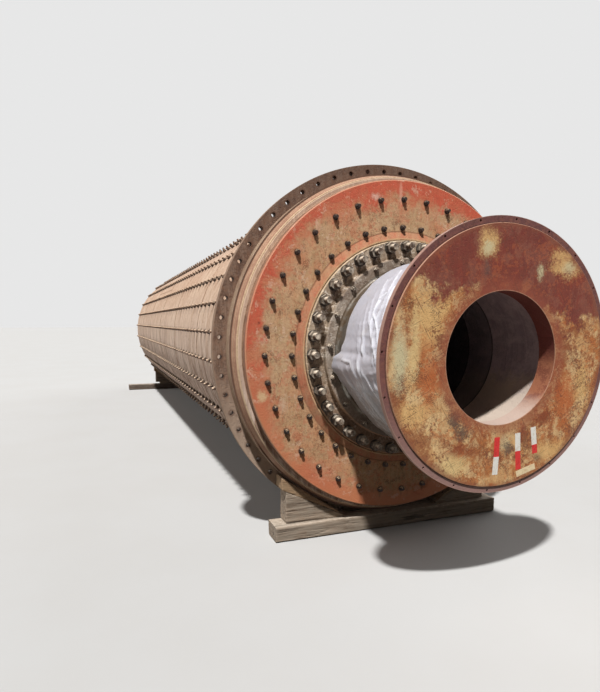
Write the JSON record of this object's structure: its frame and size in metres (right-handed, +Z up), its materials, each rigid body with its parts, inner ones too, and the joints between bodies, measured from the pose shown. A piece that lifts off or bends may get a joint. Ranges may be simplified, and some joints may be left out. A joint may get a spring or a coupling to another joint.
{
  "type": "tube ball mill drum",
  "caption": "Long steel tube mill drum with bolted lining, girth gear flange, round heads and hollow trunnions with wrapped journals, lying on timber sleepers.",
  "frame": {"origin": "on the ground under the middle of the drum", "axes": "+X along the drum towards the gear flange end, +Z up"},
  "size_m": [16.202, 3.98, 3.6793],
  "materials": {
    "shell": "dusty faded primer",
    "lining": "worn cast",
    "gear_flange": "dark brown primer",
    "gear_hub": "dusty",
    "head": "faded red oxide",
    "trunnion": "dusty casting",
    "journal": "turned, greased",
    "collar": "red oxide primer",
    "end_plate": "rusted primer",
    "throat": "dusty casting",
    "studs": "rusty",
    "wrap": "clear stretch film",
    "old_timber": "weathered",
    "new_timber": "sawn"
  },
  "bodies": {
    "root": {"shell_course_1": "shell", "shell_course_2": "shell", "shell_course_3": "shell", "shell_course_4": "shell", "shell_course_5": "shell", "shell_course_6": "shell", "shell_lining": "lining", "gear_flange": "gear_flange", "gear_hub": "gear_hub", "near_head": "head", "far_head": "head", "near_trunnion_flange": "trunnion", "near_journal": "journal", "near_collar": "collar", "near_end_plate": "end_plate", "near_throat_liner": "throat", "far_trunnion_flange": "trunnion", "far_journal": "journal", "far_collar": "collar", "far_end_plate": "end_plate", "far_throat_liner": "throat", "near_trunnion_studs": "studs", "far_trunnion_studs": "studs", "near_boss_studs": "studs", "far_boss_studs": "studs", "near_journal_wrap": "wrap", "far_journal_wrap": "wrap", "near_sleeper": "old_timber", "near_chock_left": "old_timber", "near_chock_right": "old_timber", "near_wedge_left": "new_timber", "near_wedge_right": "new_timber", "far_sleeper": "old_timber", "far_packing_board": "old_timber", "far_chock_left": "old_timber", "far_chock_right": "old_timber", "far_wedge_left": "new_timber", "far_wedge_right": "new_timber"}
  },
  "joints": []
}
